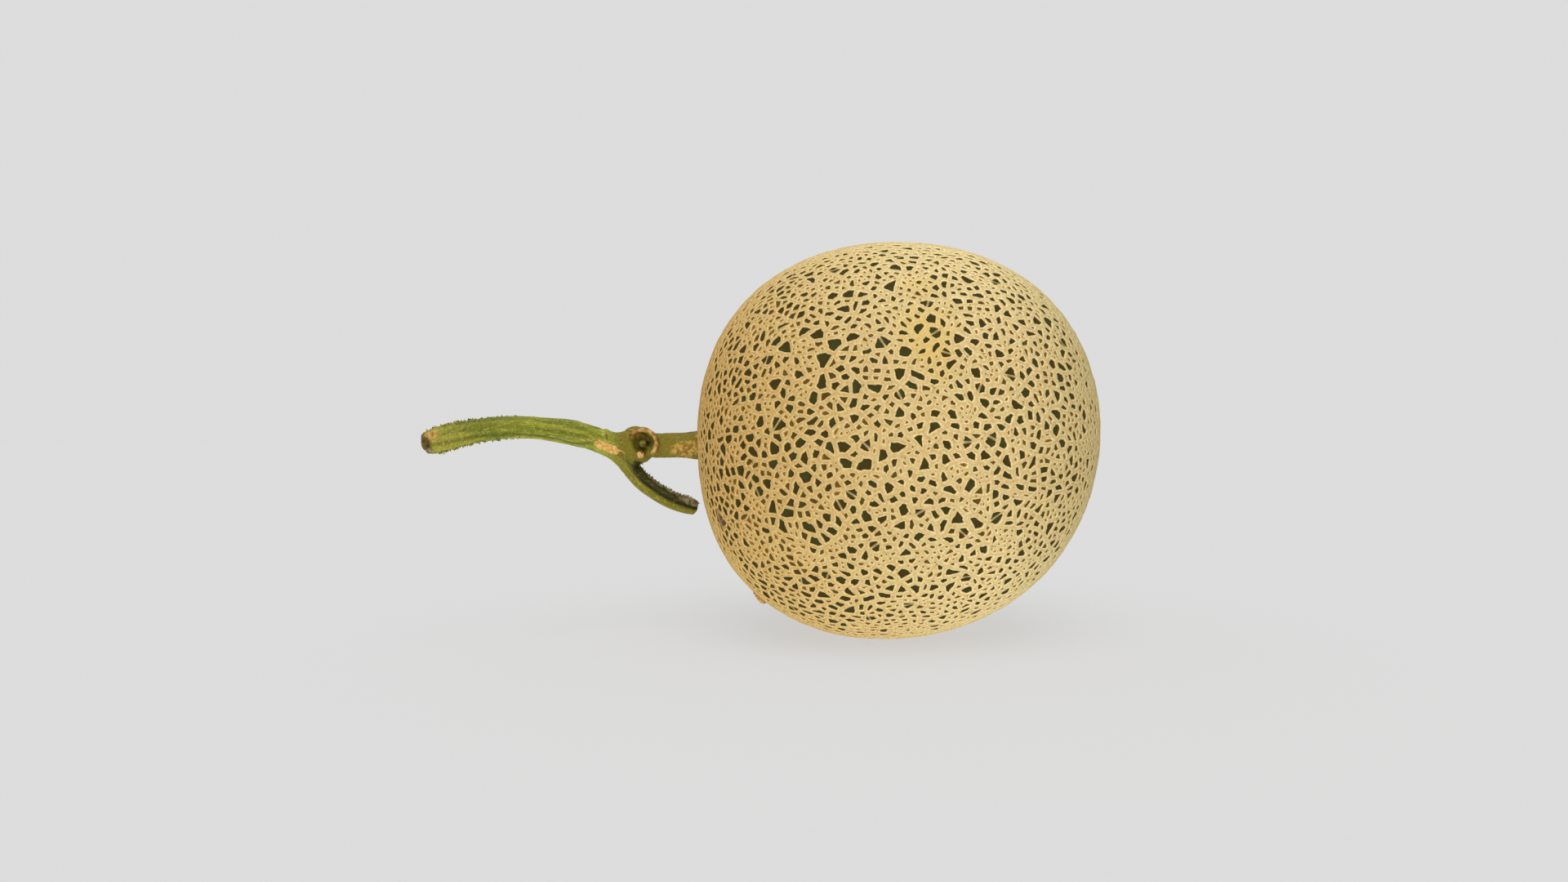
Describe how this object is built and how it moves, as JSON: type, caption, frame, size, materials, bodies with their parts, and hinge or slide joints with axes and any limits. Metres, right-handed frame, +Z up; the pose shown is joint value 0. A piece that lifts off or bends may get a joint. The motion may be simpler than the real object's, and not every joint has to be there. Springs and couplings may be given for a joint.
{
  "type": "netted melon",
  "caption": "Whole netted melon lying on its side, with a raised cork net on its rind and a short forked piece of vine left on its stalk.",
  "frame": {"origin": "on the ground, on the flat spot that the fruit rests on, straight below the fruit's middle", "axes": "+X towards the blossom end, away from the stalk; +Z up; -Y towards the side that is shown"},
  "size_m": [0.2321, 0.1432, 0.1421],
  "materials": {
    "rind": "dry, matt cork net over dark green skin",
    "vine": "fibrous green stem with tan scars"
  },
  "bodies": {
    "root": {"fruit": "rind", "stalk": "vine"}
  },
  "joints": []
}
